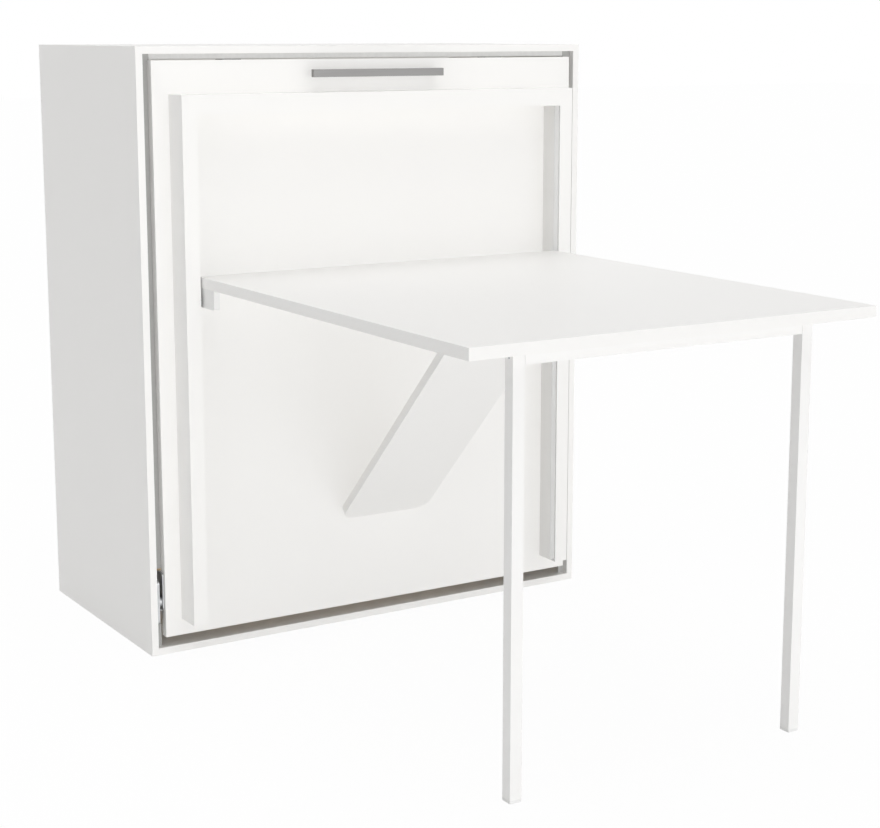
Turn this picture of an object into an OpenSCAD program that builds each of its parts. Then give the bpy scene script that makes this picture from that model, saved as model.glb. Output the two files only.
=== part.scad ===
// Wall bed in a low cabinet, with a desk that folds up into a frame on the bed's front.
// The bed is in three parts: a fixed one in the cabinet, the front, and a flap that folds out.
// Millimetres. X runs across the cabinet, -Y points out of its front, Z is up.
// The origin is the centre of the cabinet's footprint, on the floor.

/* [Cabinet] */
// Width of the cabinet
case_w = 1010; // [950:10:1200]
// Height of the cabinet
case_h = 1180; // [1060:10:1300]
// Depth of the cabinet
case_d = 515; // [460:5:640]
// Thickness of the cabinet's boards
board = 14; // [12:1:18]
// Thickness of the back panel
back_t = 4; // [3:1:6]
// Height of the wall rail behind the top
wall_rail_h = 80; // [60:5:120]
// Thickness of the wall rail
wall_rail_t = 16; // [14:1:18]
// Distance between the two wall screws
wall_screw_gap = 700; // [500:20:760]
// Radius of the wall screws' holes
wall_screw_r = 4; // [3:0.5:5]

/* [Bed front] */
// Gap between the front panel and each side
front_gap_side = 14.5; // [10:0.5:20]
// Gap above the front panel
front_gap_top = 12; // [8:1:20]
// Gap under the front panel
front_gap_low = 22; // [18:1:30]
// Thickness of the front panel
front_t = 18; // [16:1:22]
// How far the front panel stands proud of the cabinet
front_proud = 5; // [3:0.5:6]
// Length of the pull handle
handle_len = 296; // [160:4:500]
// Height of the handle bar's face
handle_h = 15; // [10:1:20]
// Depth of the handle bar
handle_t = 10; // [8:1:14]
// Finger gap behind the handle bar
handle_gap = 15; // [12:1:24]
// Height of the handle above the desk frame
handle_rise = 36; // [30:1:44]

/* [Desk frame] */
// Distance from the cabinet's side to the frame's outer edge
frame_in = 62; // [50:1:80]
// Width of the frame's stiles
stile_w = 30; // [26:1:40]
// Depth of the frame
frame_d = 60; // [58:1:70]
// Height of the stiles' lower ends
frame_low = 69; // [69:1:76]
// Distance from the front panel's top edge down to the frame
frame_drop = 63; // [56:1:66]
// Height of the frame's top rail
top_rail_h = 36; // [30:1:38]
// Width of the track let into each stile
track_w = 20; // [18:1:22]
// Depth of the track let into each stile
track_d = 12; // [10:1:14]
// Wall thickness of the track
track_t = 1.5; // [1:0.25:2]

/* [Desk] */
// Height of the desk's top face
desk_z = 750; // [735:1:760]
// Thickness of the desktop
desk_t = 20; // [18:1:22]
// Length of the desktop, from its pivot to its front edge
desk_reach = 946; // [900:1:946]
// How far the desktop runs behind its pivot
desk_back = 2; // [1:0.5:4]
// Gap between the desktop and each stile
desk_side_gap = 3; // [2:0.5:5]
// Radius of the desk's pivot pins
desk_pin_r = 5; // [4:0.5:6]
// Thickness of the desk's side brackets
desk_bracket_t = 12; // [10:1:16]

/* [Desk legs] */
// Size of the square leg tube
leg_w = 22; // [20:1:24]
// Wall of the square leg tube
leg_wall = 1.5; // [1.2:0.1:2]
// Distance from the cabinet's middle to each leg's outer face
leg_out = 304; // [260:2:330]
// Distance from the desktop's front edge to the legs' pivot
leg_set = 52; // [45:1:80]
// Height of the crossbar
crossbar_h = 23.4; // [22:0.1:24]
// Height of the plastic foot under each leg
leg_foot_h = 5; // [4:1:8]
// Radius of the leg frame's pivot pins
leg_pin_r = 3; // [2.5:0.5:4]

/* [Prop board] */
// Width of the prop board
prop_w = 202; // [150:2:240]
// Thickness of the prop board
prop_t = 17; // [14:1:17]
// Distance of the prop board's middle from the cabinet's middle
prop_x = 18; // [0:1:40]
// Height at which the prop board's face meets the front panel
prop_foot_z = 220; // [216:1:235]
// Lean of the prop board from level, in degrees
prop_lean = 45.2; // [45:0.1:46]
// Radius of the corners at the prop board's foot
prop_corner_r = 28; // [10:1:40]
// Radius of the prop board's hinge pin
prop_pin_r = 3; // [2.5:0.5:3.5]

/* [Bed] */
// Height of the bed's pivot above the floor
pivot_z = 105; // [105:1:110]
// Radius of the bed's pivot pins
pivot_r = 8; // [6:0.5:9]
// Distance from the cabinet's side to the base's rails
base_in = 65; // [62:1:80]
// Depth of the base's rails
rail_d = 40; // [36:1:40]
// Width of the base's rails
rail_w = 30; // [24:1:34]
// Wall of the base's rails
rail_wall = 2; // [1.5:0.25:3]
// Distance from the front panel's top edge down to the flap's hinge
fold_drop = 49; // [46:1:54]
// Height between the mattress pads and the folded flap
flap_clear = 85.7; // [60:0.1:110]
// Radius of the flap's hinge pins
fold_pin_r = 5; // [4:0.5:6]
// Thickness of a slat
slat_t = 8; // [7:0.5:9]
// Width of a slat
slat_w = 58; // [40:2:64]
// Number of slats on the front
slat_count = 10; // [6:1:12]
// Outer diameter of the flap's legs
bed_leg_dia = 22; // [18:1:24]
// Space between the mattress pads and the back panel
pad_back = 20.8; // [10:0.1:40]
// How much shorter than the open base the mattress is
pad_play = 18; // [10:1:40]
// Width of the mattress pads
pad_w = 860; // [800:10:880]

/* [Hidden] */

$fn = 48;
gap = 0.3;          // seat clearance between pieces that only rest on each other
run = 0.05;         // radial running clearance of a pin in its bore
slide_gap = 0.5;    // sliding clearance of a shoe in its track

white = [0.93, 0.93, 0.92];
steel_grey = [0.62, 0.62, 0.6];
tube_white = [0.9, 0.9, 0.89];
birch = [0.82, 0.71, 0.54];
ticking = [0.86, 0.86, 0.84];
dark_plastic = [0.2, 0.2, 0.21];

// Planes of the cabinet and its front
F = -case_d / 2;                        // the cabinet's front edge
in_x = case_w / 2 - board;              // inner face of a side panel
front_x = in_x - front_gap_side;        // edge of the front panel
front_y = F - front_proud;              // outer face of the front panel
front_back = front_y + front_t;         // inner face of the front panel
front_z0 = board + front_gap_low;
front_z1 = case_h - board - front_gap_top;
back_y = case_d / 2 - wall_rail_t;      // plane that the back panel and wall rail are set to

// Desk frame
frame_x = case_w / 2 - frame_in;        // outer edge of a stile
stile_x = frame_x - stile_w;            // inner edge of a stile
frame_y = front_y - frame_d;            // front plane of the frame
frame_top = front_z1 - frame_drop;
rail_z0 = frame_top - top_rail_h;
track_y = frame_y + 1 + track_w / 2;    // centre line of the track

// Desk
desk_x = stile_x - desk_side_gap;
desk_low = desk_z - desk_t;
pin_y = track_y;
pin_z = desk_z - (front_y - pin_y) + 1; // the folded desktop lies 1 mm off the front panel
desk_front = pin_y - desk_reach;
desk_rear = pin_y + desk_back;
shoe_h = 16;                            // height of a track shoe
shoe_w = track_w - 2 * track_t - slide_gap;
shoe_d = track_d - track_t - slide_gap;
bracket_x = desk_x - 2;                 // outer face of a desk bracket
bracket_low = pin_z - 10;
bracket_len = 60;

// Desk legs
leg_y = desk_front + leg_set;           // pivot axis of the legs
leg_z = desk_low - gap - leg_w / 2;
leg_in = leg_out - leg_w;

// Prop board
prop_z = desk_low - prop_t / 2 - 1.5;   // hinge axis of the prop board
prop_rise = prop_z - prop_foot_z;
prop_half = prop_t / 2;
prop_mid_z = prop_foot_z + prop_half / cos(prop_lean);
prop_y = front_y - gap - (prop_z - prop_mid_z) / tan(prop_lean);
prop_len = (front_y - gap - prop_y) / cos(prop_lean);
prop_head = 16;                         // the board starts this far from the hinge axis
runner_x = prop_w / 2 + 14;             // middle of a runner, from the prop board's middle
runner_w = 12;
runner_h = 14;
runner_y0 = prop_y - 30;
runner_rear = 120;                      // from the desk's pivot to the runners' rear ends
runner_y1 = pin_y - runner_rear;

// Bed
fold_play = 3.5;                        // from the slats' faces to the flap's hinge axis
pivot_y = front_back + 2;
rail_x = case_w / 2 - base_in;          // outer face of a rail
slat_y = front_back + rail_d;
fold_y = slat_y + slat_t + fold_play;
fold_z = front_z1 - fold_drop;
flap_slat_y = fold_y + fold_play;
flap_rail_y = flap_slat_y + slat_t;
flap_rail_d = rail_d - 2;
flap_back = flap_rail_y + flap_rail_d;  // underside of the folded flap
flap_top = fold_z - 2;
base_low = pivot_z + 30;
base_top = fold_z - 10;
bed_level = pivot_z + slat_y + slat_t - pivot_y;    // top of the slats when the bed is open
leg_tip = fold_y + pivot_z + fold_y - pivot_y - 0.5; // the flap's feet reach the floor
pad_y = pivot_y + 62;
base_inset = 4;                         // from the back panel to the fixed slats' battens
pad_gap = 0.4;                          // between one mattress pad and the next
pad_t = (back_y - pad_y - pad_back - 3 * pad_gap) / 4;
// The four pads stand under the folded flap and, laid end to end, fill the open base.
base_len = back_y - base_inset - pivot_y + 2 * fold_z - flap_top - pivot_z;
pad_len = (base_len + flap_top - bed_level - gap - flap_clear - pad_play) / 5;
flap_len = flap_top - bed_level - gap - pad_len - flap_clear;
flap_low = flap_top - flap_len;
tube_in = 40;                           // from a rail's end to its cross tube
tube_mid = (base_low + base_top) / 2 - 15;  // lower edge of the middle cross tube

// A block between two opposite corners
module block(a, b) {
    translate(a) cube([b[0] - a[0], b[1] - a[1], b[2] - a[2]]);
}

// A cylinder along X from x0 to x1
module rod_x(x0, x1, y, z, r) {
    translate([x0, y, z]) rotate([0, 90, 0]) cylinder(r = r, h = x1 - x0);
}

// A cylinder along Y from y0 to y1
module rod_y(x, y0, y1, z, r) {
    translate([x, y1, z]) rotate([90, 0, 0]) cylinder(r = r, h = y1 - y0);
}

// A rectangle with round corners, from the origin
module round_rect(w, h, r) {
    translate([r, 0]) square([w - 2 * r, h]);
    translate([0, r]) square([w, h - 2 * r]);
    for (x = [r, w - r], y = [r, h - r])
        translate([x, y]) circle(r);
}

// A plate across X with round corners, in the YZ plane
module plate_x(x0, x1, y0, y1, z0, z1, r) {
    translate([x0, y0, z0])
        rotate([90, 0, 90])
            linear_extrude(x1 - x0) round_rect(y1 - y0, z1 - z0, r);
}

// A rectangular tube upright in Z
module tube_z(x0, x1, y0, y1, z0, z1, wall) {
    difference() {
        block([x0, y0, z0], [x1, y1, z1]);
        block([x0 + wall, y0 + wall, z0 - 1], [x1 - wall, y1 - wall, z1 + 1]);
    }
}

// Mirrors what it holds to the side s, 1 for right and -1 for left
module side(s) {
    if (s > 0) children();
    else mirror([1, 0, 0]) children();
}

// Cabinet ----------------------------------------------------------------

module side_panel(s) {
    color(white) side(s)
        block([in_x, F, 0], [case_w / 2, case_d / 2, case_h]);
}

module top_panel() {
    color(white)
        block([-in_x, F, case_h - board], [in_x, case_d / 2, case_h]);
}

module bottom_panel() {
    color(white)
        block([-in_x, F, 0], [in_x, case_d / 2, board]);
}

module back_panel() {
    color(white)
        block([-in_x, back_y, board], [in_x, back_y + back_t, case_h - board - wall_rail_h]);
}

module wall_rail() {
    color(white) difference() {
        block([-in_x, back_y, case_h - board - wall_rail_h],
              [in_x, case_d / 2, case_h - board]);
        for (s = [-1, 1])
            rod_y(s * wall_screw_gap / 2, back_y - 1, case_d / 2 + 1,
                  case_h - board - wall_rail_h / 2, wall_screw_r);
    }
}

plate_t = 6;        // thickness of the pivot plate on the side panel
ear_w = 3;          // thickness of the ear on the bed front
screw_in = 28;      // from the pivot to the leaf's first screw
screw_step = 20;
ear_x = front_x + 0.5;

// The steel plate on the side panel whose boss carries the bed's pivot pin
module pivot_plate(s) {
    color(steel_grey) side(s) difference() {
        union() {
            plate_x(in_x - plate_t, in_x, F + 3, F + 83, pivot_z - 45, pivot_z + 45, 8);
            rod_x(ear_x + ear_w + gap, in_x - plate_t, pivot_y, pivot_z, 12);
        }
        rod_x(ear_x, in_x + 1, pivot_y, pivot_z, pivot_r + run);
    }
}

batten_z = bed_level - slat_t;

// A batten on the side panel, under the fixed slats
module support_batten(s) {
    color(white) side(s)
        block([in_x - 28, pivot_y + 75, batten_z - 40], [in_x, back_y - base_inset, batten_z]);
}

module cabinet_slats() {
    first = pivot_y + 77;
    step = (back_y - 6 - slat_w - first) / 4;
    color(birch)
        for (i = [0 : 4])
            translate([-in_x + 2, first + i * step, batten_z])
                rotate([90, 0, 90])
                    linear_extrude(2 * in_x - 4) round_rect(slat_w, slat_t, 2);
}

// A mattress pad with rounded edges, standing on the fixed slats; i counts from the front
module mattress_pad(i) {
    r = 14;
    color(ticking) hull()
        for (sx = [-1, 1], sz = [0, 1], sy = [0, 1])
            translate([sx * (pad_w / 2 - r), pad_y + i * (pad_t + pad_gap) + r + sy * (pad_t - 2 * r),
                       bed_level + gap + r + sz * (pad_len - 2 * r)])
                sphere(r = r, $fn = 16);
}

catch_x = 300;      // distance of a catch from the middle
catch_w = 40;
catch_h = 22;

// Two magnetic catches under the top panel
module top_catches() {
    color(dark_plastic)
        for (s = [-1, 1])
            block([s * catch_x - catch_w / 2, front_back + 6, case_h - board - catch_h],
                  [s * catch_x + catch_w / 2, front_back + 36, case_h - board]);
}

// Bed front --------------------------------------------------------------

module front_panel() {
    color(white)
        block([-front_x, front_y, front_z0], [front_x, front_back, front_z1]);
}

// A square bar on two round posts
module pull_handle() {
    color(steel_grey) {
        z = frame_top + handle_rise;
        y1 = front_y - handle_gap;
        block([-handle_len / 2, y1 - handle_t, z - handle_h / 2],
              [handle_len / 2, y1, z + handle_h / 2]);
        for (s = [-1, 1])
            rod_y(s * (handle_len / 2 - 18), y1 - 1, front_y, z, 5);
    }
}

// A stile with the groove for its track
module frame_stile(s) {
    color(white) side(s) difference() {
        block([stile_x, frame_y, frame_low], [frame_x, front_y, rail_z0]);
        block([stile_x - 1, track_y - track_w / 2, frame_low - 1],
              [stile_x + track_d, track_y + track_w / 2, rail_z0 + 1]);
    }
}

module frame_top_rail() {
    color(white)
        block([-frame_x, frame_y, rail_z0], [frame_x, front_y, frame_top]);
}

// The metal channel in a stile, open towards the desk and closed at its lower end
module desk_track(s) {
    color(steel_grey) side(s) difference() {
        block([stile_x, track_y - track_w / 2, frame_low],
              [stile_x + track_d, track_y + track_w / 2, rail_z0]);
        block([stile_x - 1, track_y - track_w / 2 + track_t, frame_low + 1],
              [stile_x + track_d - track_t, track_y + track_w / 2 - track_t, rail_z0 + 1]);
    }
}

// The steel strikes behind the front panel, facing the catches
module catch_strikes() {
    color(steel_grey)
        for (s = [-1, 1])
            block([s * catch_x - catch_w / 2, front_back, case_h - board - 20],
                  [s * catch_x + catch_w / 2, front_back + 2, front_z1 - 1]);
}

// The bent plate behind the front panel, whose ear beside the panel's edge holds the pivot pin
module pivot_ear(s) {
    color(steel_grey) side(s) difference() {
        union() {
            block([rail_x + 1, front_back, pivot_z - 20], [ear_x + ear_w, front_back + 4, pivot_z + 60]);
            plate_x(ear_x, ear_x + ear_w, pivot_y - 15, pivot_y + 15, pivot_z - 15, pivot_z + 60, 6);
        }
        rod_x(ear_x - 30, in_x, pivot_y, pivot_z, pivot_r);
    }
}

// The bed's pivot pins, fixed in the ears and running in the plates on the side panels
module pivot_pins() {
    color(steel_grey)
        for (s = [-1, 1]) side(s)
            rod_x(ear_x, in_x - 0.5, pivot_y, pivot_z, pivot_r);
}

// Screw heads on the ears' leaves
module ear_screws() {
    color(steel_grey)
        for (s = [-1, 1], z = [pivot_z + screw_in, pivot_z + screw_in + screw_step])
            rod_y(s * (rail_x + 12), front_back + 4, front_back + 6.5, z, 5);
}

// Bed base ---------------------------------------------------------------

module base_rail(s) {
    color(tube_white) side(s)
        tube_z(rail_x - rail_w, rail_x, front_back, slat_y, base_low, base_top, rail_wall);
}

// Rectangular tubes from rail to rail, y0 to y1 deep, at the heights zs
module cross_tubes(y0, y1, zs) {
    x = rail_x - rail_w;
    color(tube_white)
        for (z = zs)
            difference() {
                block([-x, y0, z], [x, y1, z + 25]);
                block([-x - 1, y0 + 2, z + 2], [x + 1, y1 - 2, z + 23]);
            }
}

// n slats from rail to rail with their inner faces at y, spread from z0 to z1
module slats(y, n, z0, z1) {
    step = (z1 - z0 - slat_w) / (n - 1);
    color(birch)
        for (i = [0 : n - 1])
            translate([-rail_x + 2, y, z0 + i * step])
                rotate([90, 0, 90])
                    linear_extrude(2 * rail_x - 4) round_rect(slat_t, slat_w, 2);
}

fold_t = 4;         // thickness of a fold plate
fold_reach = 90;    // length of a fold plate along its rail
fold_r = 14;        // radius of a fold plate's eye

// A plate from a rail to the flap's hinge axis
module fold_plate(s, x0, y0, y1, z_low, bore) {
    side(s) difference() {
        union() {
            rod_x(x0, x0 + fold_t, fold_y, fold_z, fold_r);
            translate([x0, 0, 0]) rotate([90, 0, 90]) linear_extrude(fold_t)
                polygon([[y0, z_low], [y1, z_low], [fold_y + fold_r, fold_z], [fold_y - fold_r, fold_z]]);
        }
        rod_x(x0 - 1, x0 + fold_t + 1, fold_y, fold_z, bore);
    }
}

module fold_plates_base() {
    color(steel_grey)
        for (s = [-1, 1])
            fold_plate(s, rail_x, front_back + 4, slat_y - 2, base_top - fold_reach, fold_pin_r);
}

module fold_plates_flap() {
    color(steel_grey)
        for (s = [-1, 1])
            fold_plate(s, rail_x + fold_t + gap, flap_rail_y + 2, flap_back - 4, flap_top - fold_reach,
                       fold_pin_r + run);
}

// The pins on the flap's hinge axis, with their heads
module fold_pins() {
    color(steel_grey)
        for (s = [-1, 1]) side(s) {
            rod_x(rail_x, rail_x + 2 * fold_t + 2 * gap, fold_y, fold_z, fold_pin_r);
            rod_x(rail_x + 2 * fold_t + 2 * gap, rail_x + 2 * fold_t + 4, fold_y, fold_z, fold_pin_r + 3);
        }
}

module flap_rail(s) {
    color(tube_white) side(s) {
        tube_z(rail_x - rail_w, rail_x, flap_rail_y, flap_back, flap_low, flap_top, rail_wall);
        // pad that carries the fold plate
        block([rail_x, flap_rail_y + 6, flap_top - 86], [rail_x + fold_t + gap, flap_rail_y + 28, flap_top - 30]);
    }
}

// Four round legs on the flap's rails
module flap_legs() {
    color(tube_white)
        for (s = [-1, 1], z = [fold_z - 100, flap_low + 16])
            rod_y(s * (rail_x - rail_w / 2), flap_back, leg_tip - 5, z, bed_leg_dia / 2);
}

module flap_feet() {
    color(dark_plastic)
        for (s = [-1, 1], z = [fold_z - 100, flap_low + 16])
            rod_y(s * (rail_x - rail_w / 2), leg_tip - 5, leg_tip, z, bed_leg_dia / 2);
}

// Desk -------------------------------------------------------------------

// The plastic shoe that slides in a track, with the pin that carries the desk
module track_shoe(s) {
    color(dark_plastic) side(s) {
        block([stile_x + slide_gap, track_y - shoe_w / 2, pin_z - shoe_h / 2],
              [stile_x + slide_gap + shoe_d - track_t, track_y + shoe_w / 2, pin_z + shoe_h / 2]);
        rod_x(bracket_x - desk_bracket_t + 2, stile_x + slide_gap + 1, pin_y, pin_z, desk_pin_r);
    }
}

module desktop() {
    color(white)
        block([-desk_x, desk_front, desk_low], [desk_x, desk_rear, desk_z]);
}

// The side bracket under the desktop's rear end, bored for the shoe's pin
module desk_bracket(s) {
    color(steel_grey) side(s) difference() {
        plate_x(bracket_x - desk_bracket_t, bracket_x, desk_rear - bracket_len, desk_rear - 0.5,
                bracket_low, desk_low, 5);
        rod_x(bracket_x - desk_bracket_t - 1, bracket_x + 1, pin_y, pin_z, desk_pin_r + run);
    }
}

// Two slotted runners under the desktop, in which the prop board's shoe slides
module prop_runners() {
    color(steel_grey)
        for (s = [-1, 1])
            translate([prop_x + s * runner_x, 0, 0]) side(s) difference() {
                block([-runner_w / 2, runner_y0, desk_low - runner_h], [runner_w / 2, runner_y1, desk_low]);
                block([-runner_w / 2 - 1, runner_y0 - 1, desk_low - runner_h + 3],
                      [runner_w / 2 - 3, runner_y1 + 1, desk_low - 3]);
            }
}

// The crossbar under the desktop's front edge, bored along its length for the legs' axle
module desk_crossbar() {
    color(white) difference() {
        block([-leg_in + 0.5, leg_y - leg_w / 2, desk_low - crossbar_h],
              [leg_in - 0.5, leg_y + leg_w / 2, desk_low]);
        rod_x(-leg_in, leg_in, leg_y, leg_z, leg_pin_r + run);
    }
}

// A square-tube leg with a round head
module desk_leg(s) {
    color(white) side(s) difference() {
        union() {
            block([leg_in, leg_y - leg_w / 2, leg_foot_h], [leg_out, leg_y + leg_w / 2, leg_z]);
            rod_x(leg_in, leg_out, leg_y, leg_z, leg_w / 2);
        }
        block([leg_in + leg_wall, leg_y - leg_w / 2 + leg_wall, leg_foot_h - 1],
              [leg_out - leg_wall, leg_y + leg_w / 2 - leg_wall, leg_z - leg_w / 2]);
        rod_x(leg_in - 1, leg_out + 1, leg_y, leg_z, leg_pin_r);
    }
}

// The axle through the crossbar that joins the two legs
module leg_axle() {
    color(steel_grey)
        rod_x(-leg_out, leg_out, leg_y, leg_z, leg_pin_r);
}

module leg_feet() {
    color(white)
        for (s = [-1, 1]) side(s)
            block([leg_in, leg_y - leg_w / 2, 0], [leg_out, leg_y + leg_w / 2, leg_foot_h]);
}

// The shoe that slides in the runners and carries the prop board's hinge pin
module prop_shoe() {
    inner = runner_x - runner_w / 2 - 1;
    tongue = runner_h - 6 - slide_gap;
    color(dark_plastic) translate([prop_x, 0, 0]) {
        for (s = [-1, 1]) side(s) {
            block([inner - 6, prop_y - 9, prop_z - 7], [inner, prop_y + 9, prop_z + 7]);
            block([inner, prop_y - 9, desk_low - runner_h / 2 - tongue / 2],
                  [inner + runner_w - 3, prop_y + 9, desk_low - runner_h / 2 + tongue / 2]);
        }
        rod_x(-inner + 5, inner - 5, prop_y, prop_z, prop_pin_r);
    }
}

// Places what it holds along the prop board: X across, Y from the hinge down to the foot
module prop_frame() {
    translate([prop_x, prop_y, prop_z])
        rotate([-prop_lean, 0, 0])
            children();
}

// The board that props the desk: round corners at its foot, and a foot cut to stand flat on the front panel
module prop_board() {
    w = prop_w / 2;
    mitre = prop_half * tan(prop_lean);
    r = prop_corner_r;
    color(white) prop_frame()
        difference() {
            translate([0, 0, -prop_half]) linear_extrude(prop_t) {
                translate([-w, prop_head]) square([2 * w, prop_len + mitre - prop_head - r]);
                translate([-w + r, prop_head]) square([2 * (w - r), prop_len + mitre - prop_head]);
                for (s = [-1, 1])
                    translate([s * (w - r), prop_len + mitre - r]) circle(r);
            }
            // the foot's slanted cut, upright when the board leans
            translate([-w - 1, prop_len, 0]) rotate([prop_lean, 0, 0])
                translate([0, 0, -60]) cube([2 * w + 2, 60, 120]);
        }
}

// Three knuckles on the pin, with the leaves that hold the board
module prop_knuckles() {
    color(steel_grey) prop_frame()
        for (x = [-prop_w / 2 + 24, -12, prop_w / 2 - 48])
            translate([x, 0, 0]) difference() {
                union() {
                    rotate([0, 90, 0]) cylinder(r = 6, h = 24);
                    translate([0, 0, -2]) cube([24, prop_head, 4]);
                }
                translate([-1, 0, 0]) rotate([0, 90, 0]) cylinder(r = prop_pin_r + run, h = 26);
            }
}

side_panel(-1);  // side_panel_left
side_panel(1);  // side_panel_right
top_panel();
bottom_panel();
back_panel();
wall_rail();
pivot_plate(-1);  // pivot_plate_left
pivot_plate(1);  // pivot_plate_right
top_catches();
front_panel();
pull_handle();
frame_stile(-1);  // frame_stile_left
frame_stile(1);  // frame_stile_right
frame_top_rail();
desk_track(-1);  // desk_track_left
desk_track(1);  // desk_track_right
catch_strikes();
support_batten(-1);  // support_batten_left
support_batten(1);  // support_batten_right
cabinet_slats();
mattress_pad(0);  // mattress_pad_1
mattress_pad(1);  // mattress_pad_2
mattress_pad(2);  // mattress_pad_3
mattress_pad(3);  // mattress_pad_4
pivot_ear(-1);  // pivot_ear_left
pivot_ear(1);  // pivot_ear_right
pivot_pins();
ear_screws();
base_rail(-1);  // base_rail_left
base_rail(1);  // base_rail_right
cross_tubes(front_back + 6, slat_y - 6, [base_low + tube_in, tube_mid, base_top - tube_in + 5]);  // base_cross_tubes
slats(slat_y, slat_count, base_low + 2, base_top - 2);  // base_slats
fold_plates_base();
fold_pins();
flap_rail(-1);  // flap_rail_left
flap_rail(1);  // flap_rail_right
cross_tubes(flap_rail_y + 2, flap_back - 8, [flap_low + 5, flap_top - tube_in]);  // flap_cross_tubes
slats(flap_slat_y, 4, flap_low + 2, flap_top - 8);  // flap_slats
fold_plates_flap();
flap_legs();
flap_feet();
track_shoe(-1);  // track_shoe_left
track_shoe(1);  // track_shoe_right
desktop();
desk_bracket(-1);  // desk_bracket_left
desk_bracket(1);  // desk_bracket_right
prop_runners();
desk_crossbar();
desk_leg(-1);  // desk_leg_left
desk_leg(1);  // desk_leg_right
leg_axle();
leg_feet();
prop_shoe();
prop_board();
prop_knuckles();
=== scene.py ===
import math

import bmesh
import bpy
import numpy as np
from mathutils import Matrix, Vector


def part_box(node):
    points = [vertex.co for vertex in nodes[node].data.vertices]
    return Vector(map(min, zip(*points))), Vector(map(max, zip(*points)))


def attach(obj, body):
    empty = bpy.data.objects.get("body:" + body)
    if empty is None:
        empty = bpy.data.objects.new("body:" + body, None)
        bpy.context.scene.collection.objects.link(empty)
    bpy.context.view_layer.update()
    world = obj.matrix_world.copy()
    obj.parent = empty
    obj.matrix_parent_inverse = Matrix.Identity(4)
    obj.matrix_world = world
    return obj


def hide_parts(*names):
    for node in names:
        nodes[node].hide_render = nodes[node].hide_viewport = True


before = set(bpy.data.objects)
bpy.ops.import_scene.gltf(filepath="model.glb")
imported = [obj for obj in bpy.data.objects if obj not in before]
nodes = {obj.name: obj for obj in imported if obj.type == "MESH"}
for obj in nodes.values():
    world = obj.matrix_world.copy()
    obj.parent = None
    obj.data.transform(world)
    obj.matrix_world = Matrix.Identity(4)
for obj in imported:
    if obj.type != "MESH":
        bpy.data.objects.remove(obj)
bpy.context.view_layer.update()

# --- Camera -------------------------------------------------------------
# The photograph's view: from the left of the cabinet and a little above the desk,
# through a long lens, looking slightly down.
LOOK_DOWN = 10.303     # degrees below level
LOOK_RIGHT = 31.698    # degrees to the right of straight at the wall
cam_data = bpy.data.cameras.new("photo_camera")
cam_data.sensor_width = 36.0
cam_data.lens = 76.17
cam_data.shift_y = -0.05
camera = bpy.data.objects.new("photo_camera", cam_data)
camera.location = (-1.8609, -3.5266, 1.2068)
camera.rotation_euler = (math.radians(90 - LOOK_DOWN), 0.0, -math.radians(LOOK_RIGHT))
bpy.context.scene.collection.objects.link(camera)
bpy.context.scene.camera = camera


# --- Room ---------------------------------------------------------------
# An even pale studio: a soft dome, brighter overhead, low in front and at the left, a fill
# lamp in front, and a pale floor that keeps the shadow. Camera, glossy and transmission rays
# see the dome as white, and the floor nearly so.
class Sock:
    """Wraps a node socket, so that sums and products of values add Math nodes."""

    def __init__(self, tree, socket):
        self.tree, self.socket = tree, socket

    def _math(self, kind, *args):
        n = self.tree.nodes.new("ShaderNodeMath")
        n.operation = kind
        for i, a in enumerate(args):
            if isinstance(a, Sock):
                self.tree.links.new(a.socket, n.inputs[i])
            else:
                n.inputs[i].default_value = a
        return Sock(self.tree, n.outputs[0])

    def __add__(self, o):
        return self._math("ADD", self, o)

    def __radd__(self, o):
        return self._math("ADD", o, self)

    def __rsub__(self, o):
        return self._math("SUBTRACT", o, self)

    def __mul__(self, o):
        return self._math("MULTIPLY", self, o)

    def __rmul__(self, o):
        return self._math("MULTIPLY", o, self)

    def __pow__(self, o):
        return self._math("POWER", self, o)

    def most(self, o):
        return self._math("MAXIMUM", self, o)


class Tree:
    """A node tree whose nodes are made by one call each."""

    def __init__(self, tree):
        self.tree = tree
        tree.nodes.clear()

    def node(self, kind, out=0, settings=None, **inputs):
        """Adds a node, sets it up, feeds its sockets and wraps one output. A socket is given
        by its name with _ for spaces, or as i and its number."""
        n = self.tree.nodes.new(kind)
        for k, v in (settings or {}).items():
            if k == "stops":
                for stop, (pos, colour) in zip(n.color_ramp.elements, v):
                    stop.position, stop.color = pos, (*colour, 1.0)
            else:
                setattr(n, k, v)
        for k, v in inputs.items():
            numbered = k[0] == "i" and k[1:].isdigit()
            s = n.inputs[int(k[1:])] if numbered else n.inputs[k.replace("_", " ")]
            if isinstance(v, Sock):
                self.tree.links.new(v.socket, s)
            else:
                s.default_value = v
        return Sock(self.tree, n.outputs[out])

    def end(self, kind, shader):
        """Adds the output node and links a shader to its surface."""
        n = self.tree.nodes.new(kind)
        self.tree.links.new(shader.socket, n.inputs["Surface"])

    def white_rays(self):
        """1 for the rays that see the room as plain white: camera, glossy and transmission."""
        camera_ray = self.node("ShaderNodeLightPath", "Is Camera Ray")
        glossy_ray = self.node("ShaderNodeLightPath", "Is Glossy Ray")
        through_ray = self.node("ShaderNodeLightPath", "Is Transmission Ray")
        return camera_ray.most(glossy_ray).most(through_ray)


world = bpy.data.worlds.new("studio_dome")
world.use_nodes = True
bpy.context.scene.world = world
wt = Tree(world.node_tree)
seen = wt.white_rays()
skyward = wt.node("ShaderNodeTexCoord", "Generated")


def lobe(peak, towards, power):
    """What the dome adds about one direction: peak times a power of the cosine to it, which is
    never below 0."""
    unit = np.array(towards) / np.linalg.norm(towards)
    cosine = wt.node("ShaderNodeVectorMath", "Value", {"operation": "DOT_PRODUCT"},
                     i0=skyward, i1=unit.tolist())
    return peak * cosine.most(0.0) ** power


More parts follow.
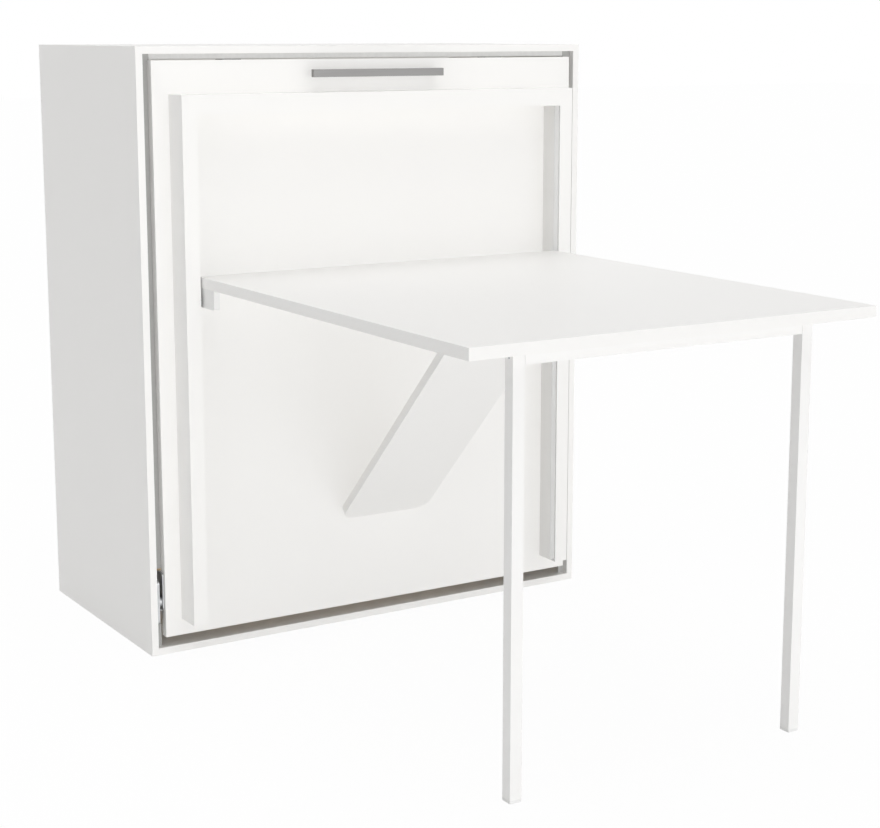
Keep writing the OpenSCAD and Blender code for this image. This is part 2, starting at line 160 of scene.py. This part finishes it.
ALL_ROUND = 0.12       # the dome's plain light
OVERHEAD = (2.70, (0, 0, 1), 6)    # its lobes: the peak, where it points, and the power
IN_FRONT = (1.15, (0.34, -0.90, 0.12), 12)
AT_LEFT = (0.90, (-1, -0.1, 0.1), 4)
light = ALL_ROUND + lobe(*OVERHEAD) + lobe(*IN_FRONT) + lobe(*AT_LEFT)
dome = wt.node("ShaderNodeBackground", 0, None, Color=(1.0, 1.0, 1.0, 1.0),
               Strength=light + seen * (1.0 - light))
wt.end("ShaderNodeOutputWorld", dome)

FILL = 0.36            # the fill lamp in front, which throws no shadow of its own
FILL_SPREAD = 20       # degrees across the fill lamp
FILL_FALL = 4          # degrees that its light falls below level
FILL_TURN = 4          # degrees that it comes from the right of straight ahead
fill_data = bpy.data.lights.new("front_fill", "SUN")
fill_data.energy, fill_data.angle = FILL * math.pi, math.radians(FILL_SPREAD)
fill_data.use_shadow = False
fill = bpy.data.objects.new("front_fill", fill_data)
fill.rotation_euler = (math.radians(90 - FILL_FALL), 0.0, math.radians(FILL_TURN))
bpy.context.scene.collection.objects.link(fill)


def surface_object(name, verts, faces):
    """Puts an array of points, and faces as rows of point numbers, into a new mesh object."""
    mesh = bpy.data.meshes.new(name)
    corners = np.asarray(verts, float).reshape(-1, 3).tolist()
    mesh.from_pydata(corners, [], [list(f) for f in faces])
    mesh.update()
    obj = bpy.data.objects.new(name, mesh)
    bpy.context.scene.collection.objects.link(obj)
    return obj


FLOOR_REACH = 30.0     # from the floor's middle to its edges
FLOOR_DROP = 0.0005    # how far it lies below the object's underside
FLOOR_WHITE = 0.96     # share of plain white that those rays see on the floor
floor = surface_object("floor", [(x * FLOOR_REACH, y * FLOOR_REACH, -FLOOR_DROP)
                                 for x, y in ((-1, -1), (1, -1), (1, 1), (-1, 1))],
                       [(0, 1, 2, 3)])
floor_mat = bpy.data.materials.new("pale_floor")
floor_mat.use_nodes = True
ft = Tree(floor_mat.node_tree)
lit = ft.node("ShaderNodeBsdfDiffuse", 0, None, Color=(0.90, 0.90, 0.90, 1.0))
glow = ft.node("ShaderNodeEmission", 0, None, Color=(1.0, 1.0, 1.0, 1.0), Strength=1.0)
floor_shade = ft.node("ShaderNodeMixShader", 0, None, i0=ft.white_rays() * FLOOR_WHITE,
                      i1=lit, i2=glow)
ft.end("ShaderNodeOutputMaterial", floor_shade)
floor.data.materials.append(floor_mat)


# --- White boards -------------------------------------------------------
# Cabinet, bed front, desk frame, desktop and prop are chipboard faced with white melamine.
# The face has a fine pearl grain that only breaks up the gloss, and a faint uneven tone.
TONE_STOPS = (0.3, 0.7)    # the noise values at which a finish is at its darkest and palest
GRAIN_HEIGHT = 0.0004      # from the valleys to the peaks of a finish's grain


def finish_material(name, colour, rough, metal=0.0, tone=0.0, tone_scale=4.0,
                    stretch=(1, 1, 1), grain=0.0, grain_scale=900.0, rough_swing=0.0):
    """A finish in Object coordinates: colour times 1 + tone * noise, roughness plus a swing,
    and a bump whose height is fine noise."""
    mat = bpy.data.materials.new(name)
    mat.use_nodes = True
    t = Tree(mat.node_tree)
    place = t.node("ShaderNodeTexCoord", "Object")
    stretched = t.node("ShaderNodeMapping", 0, None, Vector=place, Scale=stretch)
    feeds = {"Base_Color": (*colour, 1.0), "Roughness": rough, "Metallic": metal}
    if tone:
        cloud = t.node("ShaderNodeTexNoise", 0, None, Vector=stretched, Scale=tone_scale,
                       Detail=4.0, Roughness=0.6)
        shades = [tuple(min(1.0, c * (1 + swing)) for c in colour) for swing in (-tone, tone)]
        feeds["Base_Color"] = t.node("ShaderNodeValToRGB", 0,
                                     {"stops": tuple(zip(TONE_STOPS, shades))}, Fac=cloud)
        if rough_swing:
            feeds["Roughness"] = cloud * rough_swing + (rough - rough_swing / 2)
    if grain:
        fine = t.node("ShaderNodeTexNoise", 0, None, Vector=stretched, Scale=grain_scale,
                      Detail=2.0)
        feeds["Normal"] = t.node("ShaderNodeBump", 0, None, Strength=grain,
                                 Distance=GRAIN_HEIGHT, Height=fine)
    t.end("ShaderNodeOutputMaterial", t.node("ShaderNodeBsdfPrincipled", 0, None, **feeds))
    return mat


def dress(material, *names):
    """Gives CAD nodes their finish."""
    for n in names:
        mesh = nodes[n].data
        mesh.materials.clear()
        mesh.materials.append(material)


melamine = finish_material("white_melamine", (0.865, 0.858, 0.843), 0.42, tone=0.006,
                           tone_scale=2.2, grain=0.12, grain_scale=650.0, rough_swing=0.06)
dress(melamine, "side_panel_left", "side_panel_right", "top_panel", "bottom_panel", "wall_rail",
      "support_batten_left", "support_batten_right", "front_panel",
      "frame_stile_left", "frame_stile_right", "frame_top_rail", "desktop", "prop_board")

# --- Back panel ---------------------------------------------------------
# A thin hardboard sheet set into the cabinet's back, painted white on both sides.
# Its paint is a little duller than the melamine.
hardboard = finish_material("painted_hardboard", (0.80, 0.79, 0.77), 0.6, tone=0.015,
                            tone_scale=6.0, grain=0.2, grain_scale=420.0, rough_swing=0.08)
dress(hardboard, "back_panel")

# --- Handle -------------------------------------------------------------
# The pull bar and its posts are drawn aluminium, anodised satin.
# The brushing runs along the bar.
anodised = finish_material("satin_bar", (0.27, 0.266, 0.262), 0.34, metal=1.0, tone=0.04,
                           tone_scale=160.0, stretch=(0.03, 1, 1), rough_swing=0.08)
dress(anodised, "pull_handle")

# --- Tracks -------------------------------------------------------------
# The channels in the desk frame's stiles are rolled steel, painted pale grey.
# The shoes leave the paint inside a little duller along the way they slide.
track_paint = finish_material("track_paint", (0.78, 0.78, 0.775), 0.45, tone=0.02,
                              tone_scale=90.0, stretch=(1, 1, 0.05), rough_swing=0.08)
dress(track_paint, "desk_track_left", "desk_track_right")

# --- Steel fittings -----------------------------------------------------
# Pivot plates, ears, hinge plates, pins and screws are cut from steel and zinc plated, which
# leaves them cloudy and slightly cool. The desk's brackets and the prop's runners and
# knuckles are painted white.
zinc = finish_material("zinc_plated_steel", (0.52, 0.53, 0.54), 0.36, metal=1.0, tone=0.09,
                       tone_scale=38.0, grain=0.05, grain_scale=500.0, rough_swing=0.14)
dress(zinc, "pivot_plate_left", "pivot_plate_right", "catch_strikes",
      "pivot_ear_left", "pivot_ear_right", "pivot_pins", "ear_screws",
      "fold_plates_base", "fold_pins", "fold_plates_flap", "leg_axle")
white_steel = finish_material("white_bracket_paint", (0.80, 0.80, 0.79), 0.4, tone=0.01,
                              tone_scale=9.0, grain=0.15, grain_scale=380.0, rough_swing=0.06)
dress(white_steel, "desk_bracket_left", "desk_bracket_right", "prop_runners", "prop_knuckles")

# --- White metal tubes --------------------------------------------------
# The bed base, the flap and the desk's legs are welded tube with a white powder coat.
# The coat has a soft orange-peel that shows in the gloss.
powder = finish_material("white_powder_coat", (0.87, 0.865, 0.855), 0.34, tone=0.005,
                         tone_scale=5.0, grain=0.22, grain_scale=260.0, rough_swing=0.05)
dress(powder, "base_rail_left", "base_rail_right", "base_cross_tubes",
      "flap_rail_left", "flap_rail_right", "flap_cross_tubes", "flap_legs",
      "desk_crossbar", "desk_leg_left", "desk_leg_right")

# --- Slats --------------------------------------------------------------
# The bed's slats are pressed birch plywood, with the grain along each slat.
# They are sanded and lacquered thinly.
birch = finish_material("birch_slat", (0.62, 0.46, 0.27), 0.5, tone=0.13, tone_scale=46.0,
                        stretch=(0.05, 1, 1), grain=0.25, grain_scale=300.0, rough_swing=0.1)
dress(birch, "cabinet_slats", "base_slats", "flap_slats")

# --- Plastic feet, shoes and catches ------------------------------------
# The feet under the desk's legs are moulded in white, the track shoes and the catches in
# grey, and the rest in dark grey nylon, all with a fine spark-eroded grain.
white_nylon = finish_material("white_nylon", (0.80, 0.80, 0.79), 0.5,
                              grain=0.2, grain_scale=420.0)
dress(white_nylon, "leg_feet")
dark_nylon = finish_material("dark_nylon", (0.035, 0.035, 0.038), 0.5, tone=0.05,
                             tone_scale=30.0, grain=0.3, grain_scale=420.0)
dress(dark_nylon, "flap_feet", "prop_shoe")
grey_nylon = finish_material("grey_nylon", (0.33, 0.33, 0.335), 0.5, tone=0.04,
                             tone_scale=30.0, grain=0.3, grain_scale=420.0)
dress(grey_nylon, "track_shoe_left", "track_shoe_right", "top_catches")

# --- Seal strips --------------------------------------------------------
# Foam strips are glued just behind the bed front. They keep dust and light out, and leave the
# pivot plates free. Their two tones are painted shade: grey at the sides gives the side gaps
# their darker shade, and pale at the top gives the top gap a lighter one. Along the bottom
# there is none, because the desk frame's stiles swing past close to the board.
SEAL_THICK = 0.004     # from the strip's front to its back
SEAL_OFF = 0.0015      # from the bed front to the strip
SEAL_CLEAR = 0.001     # from a strip's lip to the bed front's edge, where the two pass each other
SEAL_LAP = 0.004       # how far the upper side strips reach behind the bed front's edge
EAR_SWEEP = 0.022      # the ears pass this far above the pivot plates
front_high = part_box("front_panel")[1]
inside_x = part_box("side_panel_right")[0][0]
ceiling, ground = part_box("top_panel")[0][2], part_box("bottom_panel")[1][2]
plate_low, plate_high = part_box("pivot_plate_right")
seal_y = front_high[1] + SEAL_OFF
beside = inside_x - front_high[0]      # the gap at each side of the bed front
# The grey and the pale foam colours are painted shade for the side gaps and the top gap.
side_gap_shade_foam = finish_material("grey_foam_strip", (0.42, 0.42, 0.41), 0.9, tone=0.03,
                            tone_scale=120.0, grain=0.5, grain_scale=700.0)
top_gap_shade_foam = finish_material("pale_foam_strip", (0.72, 0.72, 0.71), 0.9, tone=0.03,
                            tone_scale=120.0, grain=0.5, grain_scale=700.0)


def seal_strip(name, foam, start, end, out_to, lip_points=6):
    """A strip from start to end along its foot, whose lip stands towards out_to. Across it the
    profile is a flat foot and a half-round lip: lip height h, thickness t, points
    (h - t/2 + t/2 cos a, t/2 sin a)."""
    start, end, reach = (np.array(v, float) for v in (start, end, out_to))
    h, t = np.linalg.norm(reach), SEAL_THICK
    a = np.linspace(-np.pi / 2, np.pi / 2, lip_points)
    rise = np.concatenate([[0.0], h - t / 2 + t / 2 * np.cos(a), [0.0]])
    back = np.concatenate([[-t / 2], t / 2 * np.sin(a), [t / 2]])
    ring = rise[:, None] * (reach / h)[None, :] + (back + t / 2)[:, None] * np.array([[0, 1, 0]])
    k = len(ring)
    i = np.arange(k)
    walls = np.stack([i, (i + 1) % k, (i + 1) % k + k, i + k], -1).tolist()
    strip = surface_object(name, np.vstack([start + ring, end + ring]),
                           walls + [i[::-1].tolist(), (i + k).tolist()])
    shell = bmesh.new()
    shell.from_mesh(strip.data)
    bmesh.ops.recalc_face_normals(shell, faces=shell.faces)
    shell.to_mesh(strip.data)
    shell.free()
    strip.data.materials.append(foam)
    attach(strip, "cabinet")


above, below = plate_high[2] + EAR_SWEEP, plate_low[2] - SEAL_CLEAR
for side_name, side in (("left", -1), ("right", 1)):
    wall = side * inside_x
    seal_strip(f"seal_{side_name}_upper", side_gap_shade_foam,
               (wall, seal_y, above), (wall, seal_y, ceiling),
               (-side * (beside + SEAL_LAP), 0, 0))
    seal_strip(f"seal_{side_name}_lower", side_gap_shade_foam,
               (wall, seal_y, ground), (wall, seal_y, below),
               (-side * (beside - SEAL_CLEAR), 0, 0))
across = inside_x - beside - SEAL_LAP
seal_strip("seal_top", top_gap_shade_foam, (-across, seal_y, ceiling), (across, seal_y, ceiling),
           (0, 0, front_high[2] + SEAL_CLEAR - ceiling))

# --- Mattress pads ------------------------------------------------------
# The folding mattress is four foam pads in a woven cover, stored on edge in the cabinet.
# Each has crowned faces with sewn tufts, and a welt along both of its edges.
PADS = ("mattress_pad_1", "mattress_pad_2", "mattress_pad_3", "mattress_pad_4")
PLAN_ROUND = 0.16      # how round a pad's corners are in its plan: 0 is square, 1 an ellipse
EDGE_ROUND = 0.34      # how round its edge is from face to face, in the same way
SLACK = 0.004          # how much smaller than its space the foam is before it swells
SWELL = 0.0035         # the most that a point may move as it swells
PLAY = 0.0005          # what is always left between the foam and its space
VOXEL = 0.011          # the even mesh's spacing
FRAMES = 20            # frames that the foam swells for
PRESSURE = 4.0         # what it swells by
COLUMNS, ROWS = 5, 3   # tufts along and up a pad
TUFT_SPREAD = (0.74, 0.62)     # the outer tufts' places, as shares of the half length and height
DISH, DISH_WIDE = 0.006, 0.055     # the broad dish at a tuft: its depth and width
DIMPLE, DIMPLE_WIDE = 0.009, 0.018     # the dimple at its middle
FACE_FROM = 0.6        # the tufts pull from this share of the half thickness outwards
WELT_RADIUS = 0.003    # half the welt's thickness
WELT_SINK = 0.002      # how deep the welt's middle lies within the foam's outline
WELT_AT = 0.72         # the welts' places, as a share of the half thickness


def signed_power(v, e):
    """The power e of a number's size, with the number's own sign: sign(v) |v|^e."""
    return np.sign(v) * np.abs(v) ** e


def rounded_block(half, nu=96, nv=40):
    """A closed superellipsoid: with p and e for the two roundnesses and s(a, e) = sign(a) |a|^e,
    x is half_x s(cos u, p) s(cos v, e), z is half_z s(sin u, p) s(cos v, e), and y, the
    thickness, is half_y s(sin v, e)."""
    u = np.linspace(0, 2 * np.pi, nu, endpoint=False)[None, :]
    v = np.linspace(-np.pi / 2, np.pi / 2, nv + 1)[1:-1, None]
    around = signed_power(np.cos(v), EDGE_ROUND)
    ring = np.stack([half[0] * signed_power(np.cos(u), PLAN_ROUND) * around,
                     half[1] * signed_power(np.sin(v), EDGE_ROUND) + 0 * u,
                     half[2] * signed_power(np.sin(u), PLAN_ROUND) * around], -1).reshape(-1, 3)
    i = np.arange(nu)
    rows = np.arange(nv - 2)[:, None] * nu
    a, b = rows + i[None, :], rows + (i + 1)[None, :] % nu
    quads = np.stack([a, a + nu, b + nu, b], -1).reshape(-1, 4).tolist()
    low, high = len(ring), len(ring) + 1
    last = (nv - 2) * nu
    caps = [(low, int(k), int((k + 1) % nu)) for k in i]
    caps += [(high, int(last + (k + 1) % nu), int(last + k)) for k in i]
    return np.vstack([ring, [[0, -half[1], 0], [0, half[1], 0]]]), quads + caps


def apply_modifiers(obj):
    """Bakes an object's modifiers into its mesh, as they stand at this frame."""
    graph = bpy.context.evaluated_depsgraph_get()
    made = bpy.data.meshes.new_from_object(obj.evaluated_get(graph))
    obj.modifiers.clear()
    old, obj.data = obj.data, made
    bpy.data.meshes.remove(old)


def points(mesh):
    """All of a mesh's points, as an array."""
    flat = np.empty(len(mesh.vertices) * 3)
    mesh.vertices.foreach_get("co", flat)
    return flat.reshape(-1, 3)


def welt(half_x, half_z, y, steps=160, sides=8):
    """A round cord along a superellipse of the pad's plan: a circle of the cord's radius is
    carried round the path, in the plane of the path's outward direction and the thickness."""
    a = np.linspace(0, 2 * np.pi, steps, endpoint=False)
    path = np.stack([half_x * signed_power(np.cos(a), PLAN_ROUND),
                     half_z * signed_power(np.sin(a), PLAN_ROUND)], -1)
    ahead = np.roll(path, -1, 0) - np.roll(path, 1, 0)
    ahead /= np.linalg.norm(ahead, axis=1, keepdims=True)
    outward = np.stack([ahead[:, 1], -ahead[:, 0]], -1)
    b = np.linspace(0, 2 * np.pi, sides, endpoint=False)[None, :]
    x = path[:, :1] + WELT_RADIUS * np.cos(b) * outward[:, :1]
    z = path[:, 1:] + WELT_RADIUS * np.cos(b) * outward[:, 1:]
    grid = np.stack([x, y + WELT_RADIUS * np.sin(b) + 0 * x, z], -1)
    i, j = np.meshgrid(np.arange(steps), np.arange(sides), indexing="ij")
    at = lambda m, n: (m % steps) * sides + n % sides
    quads = np.stack([at(i, j), at(i, j + 1), at(i + 1, j + 1), at(i + 1, j)], -1)
    return grid.reshape(-1, 3), quads.reshape(-1, 4)


low, high = (np.array(c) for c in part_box(PADS[0]))
half = (high - low) / 2 - SLACK
pad = surface_object("foam", *rounded_block(half))
remesh = pad.modifiers.new("even", "REMESH")
remesh.mode, remesh.voxel_size = "VOXEL", VOXEL
apply_modifiers(pad)
start = points(pad.data)
cloth = pad.modifiers.new("swell", "CLOTH")
cloth.settings.use_pressure = True
cloth.settings.uniform_pressure_force = PRESSURE
cloth.settings.effector_weights.gravity = 0.0
cloth.point_cache.frame_start, cloth.point_cache.frame_end = 1, FRAMES
for f in range(1, FRAMES + 1):
    bpy.context.scene.frame_set(f)
apply_modifiers(pad)
bpy.context.scene.frame_set(1)
moved = points(pad.data) - start
far = np.linalg.norm(moved, axis=1, keepdims=True)
p = start + moved * np.minimum(1.0, SWELL / np.maximum(far, 1e-9))

# the sewn tufts: each pulls both faces in, with a broad dish and a small dimple
tufts_x = np.linspace(-1, 1, COLUMNS)[:, None] * half[0] * TUFT_SPREAD[0]
tufts_z = np.linspace(-1, 1, ROWS)[None, :] * half[2] * TUFT_SPREAD[1]
tx, tz = (tufts_x + 0 * tufts_z).ravel(), (tufts_z + 0 * tufts_x).ravel()
away = np.sqrt((p[:, :1] - tx) ** 2 + (p[:, 2:] - tz) ** 2)
pull = DISH * np.exp(-(away / DISH_WIDE) ** 2) + DIMPLE * np.exp(-(away / DIMPLE_WIDE) ** 2)
face = np.clip((np.abs(p[:, 1]) / half[1] - FACE_FROM) / (1 - FACE_FROM), 0, 1)
p[:, 1] -= np.sign(p[:, 1]) * pull.sum(1) * face
limit = half + SLACK - PLAY
p = np.clip(p, -limit, limit)
pad.data.vertices.foreach_set("co", p.ravel())
pad.data.update()
pad.data.polygons.foreach_set("use_smooth", [True] * len(pad.data.polygons))

ticking = finish_material("woven_ticking", (0.79, 0.78, 0.75), 0.85, tone=0.03,
                          tone_scale=14.0, grain=0.6, grain_scale=1100.0)
welting = finish_material("welt_tape", (0.55, 0.55, 0.54), 0.8, tone=0.05,
                          tone_scale=60.0, grain=0.6, grain_scale=1100.0)
for number, name in enumerate(PADS, 1):
    low, high = (np.array(c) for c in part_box(name))
    middle = (low + high) / 2
    mesh = pad.data.copy()
    mesh.vertices.foreach_set("co", (p + middle).ravel())
    mesh.update()
    mesh.materials.clear()
    mesh.materials.append(ticking)
    piece = bpy.data.objects.new(f"foam_pad_{number}", mesh)
    bpy.context.scene.collection.objects.link(piece)
    smooth = piece.modifiers.new("smooth", "SUBSURF")
    smooth.levels = smooth.render_levels = 1
    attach(piece, "cabinet")
    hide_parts(name)
    for side_name, side in (("front", -1), ("back", 1)):
        cord, quads = welt(half[0] - WELT_SINK, half[2] - WELT_SINK, side * half[1] * WELT_AT)
        edge = surface_object(f"pad_{number}_welt_{side_name}", cord + middle, quads)
        edge.data.polygons.foreach_set("use_smooth", [True] * len(edge.data.polygons))
        edge.data.materials.append(welting)
        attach(edge, "cabinet")
bpy.data.objects.remove(pad)

bpy.context.scene.view_settings.view_transform = "Standard"
